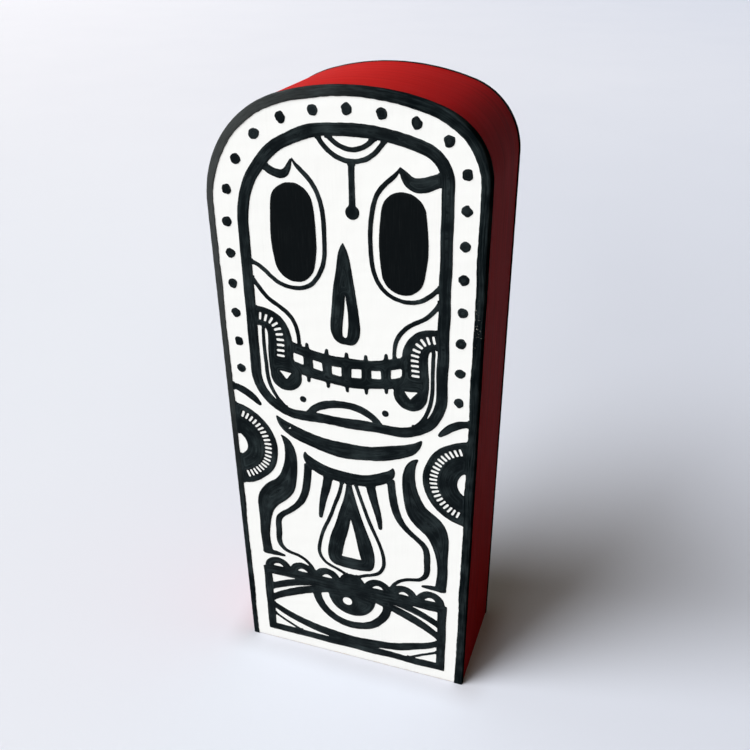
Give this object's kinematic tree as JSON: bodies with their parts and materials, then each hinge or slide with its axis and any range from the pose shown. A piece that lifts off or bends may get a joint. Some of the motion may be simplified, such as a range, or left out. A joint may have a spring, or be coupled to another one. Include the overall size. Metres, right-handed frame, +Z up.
{
  "type": "painted folk art block",
  "caption": "Free-standing wooden block with an arched top, red edge and a hand-painted black and white skull figure on its front.",
  "frame": {"origin": "middle of the base, on the surface that the block stands on", "axes": "+Z up along the block, +X to the right seen from the painted front, the front faces -Y"},
  "size_m": [0.0958, 0.046, 0.2364],
  "materials": {
    "bare_wood": "sanded, bare on the base",
    "white_ground": "brushed acrylic paint film, satin",
    "red_coat": "brushed acrylic paint film, satin",
    "black_paint": "brushed acrylic paint film, satin"
  },
  "bodies": {
    "root": {"back_rim_band": "black_paint", "border_dots": "black_paint", "centre_drop": "black_paint", "chin_crescent": "black_paint", "chin_dots": "black_paint", "collar_crescent": "black_paint", "drop_line": "black_paint", "forehead_arcs": "black_paint", "forehead_pendant": "black_paint", "front_rim_band": "black_paint", "hood_outline": "black_paint", "iris_ring": "black_paint", "left_brow": "black_paint", "left_cheek": "black_paint", "left_cheek_line": "black_paint", "left_corner_line": "black_paint", "left_eye_line": "black_paint", "left_eye_socket": "black_paint", "left_jaw_line": "black_paint", "left_robe_band": "black_paint", "left_robe_fold": "black_paint", "left_rosette": "black_paint", "left_shoulder_crescent": "black_paint", "left_tassel": "black_paint", "lower_lid": "black_paint", "nose": "black_paint", "panel_frame": "black_paint", "panel_scallops": "black_paint", "pupil": "black_paint", "red_edge_coat": "red_coat", "right_brow": "black_paint", "right_cheek": "black_paint", "right_cheek_line": "black_paint", "right_corner_line": "black_paint", "right_eye_line": "black_paint", "right_eye_socket": "black_paint", "right_jaw_line": "black_paint", "right_robe_band": "black_paint", "right_robe_fold": "black_paint", "right_rosette": "black_paint", "right_shoulder_crescent": "black_paint", "right_tassel": "black_paint", "teeth": "black_paint", "upper_lid": "black_paint", "white_back_ground": "white_ground", "white_front_ground": "white_ground", "wood_block": "bare_wood", "yoke": "black_paint"}
  },
  "joints": []
}
